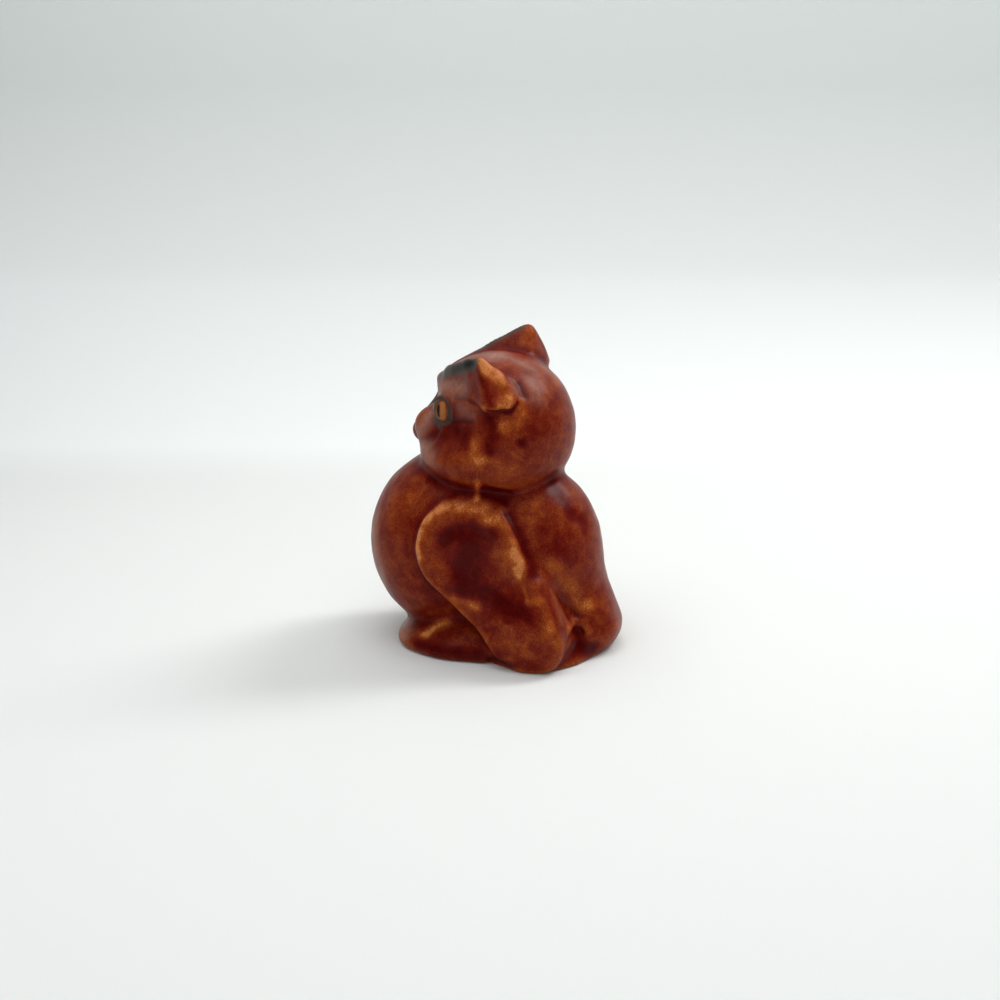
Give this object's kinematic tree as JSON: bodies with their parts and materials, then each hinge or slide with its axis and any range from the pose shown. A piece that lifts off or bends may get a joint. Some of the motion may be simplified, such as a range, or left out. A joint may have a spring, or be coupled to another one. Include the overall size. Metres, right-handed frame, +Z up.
{
  "type": "owl figurine",
  "caption": "Small sitting owl figurine in glazed ceramic, with a round belly, folded wings, tucked feet, a hooked beak and horn-like ear tufts, standing on a flat underside.",
  "frame": {"origin": "middle of the figure's extents, on the plane it stands on", "axes": "+Z up, the owl looks along -Y and its left wing is on +X"},
  "size_m": [0.042, 0.053, 0.064],
  "materials": {
    "glaze": "glossy amber and oxblood glaze, golden where it is thin and near black where it pooled"
  },
  "bodies": {
    "root": {"ceramic_owl": "glaze"}
  },
  "joints": []
}
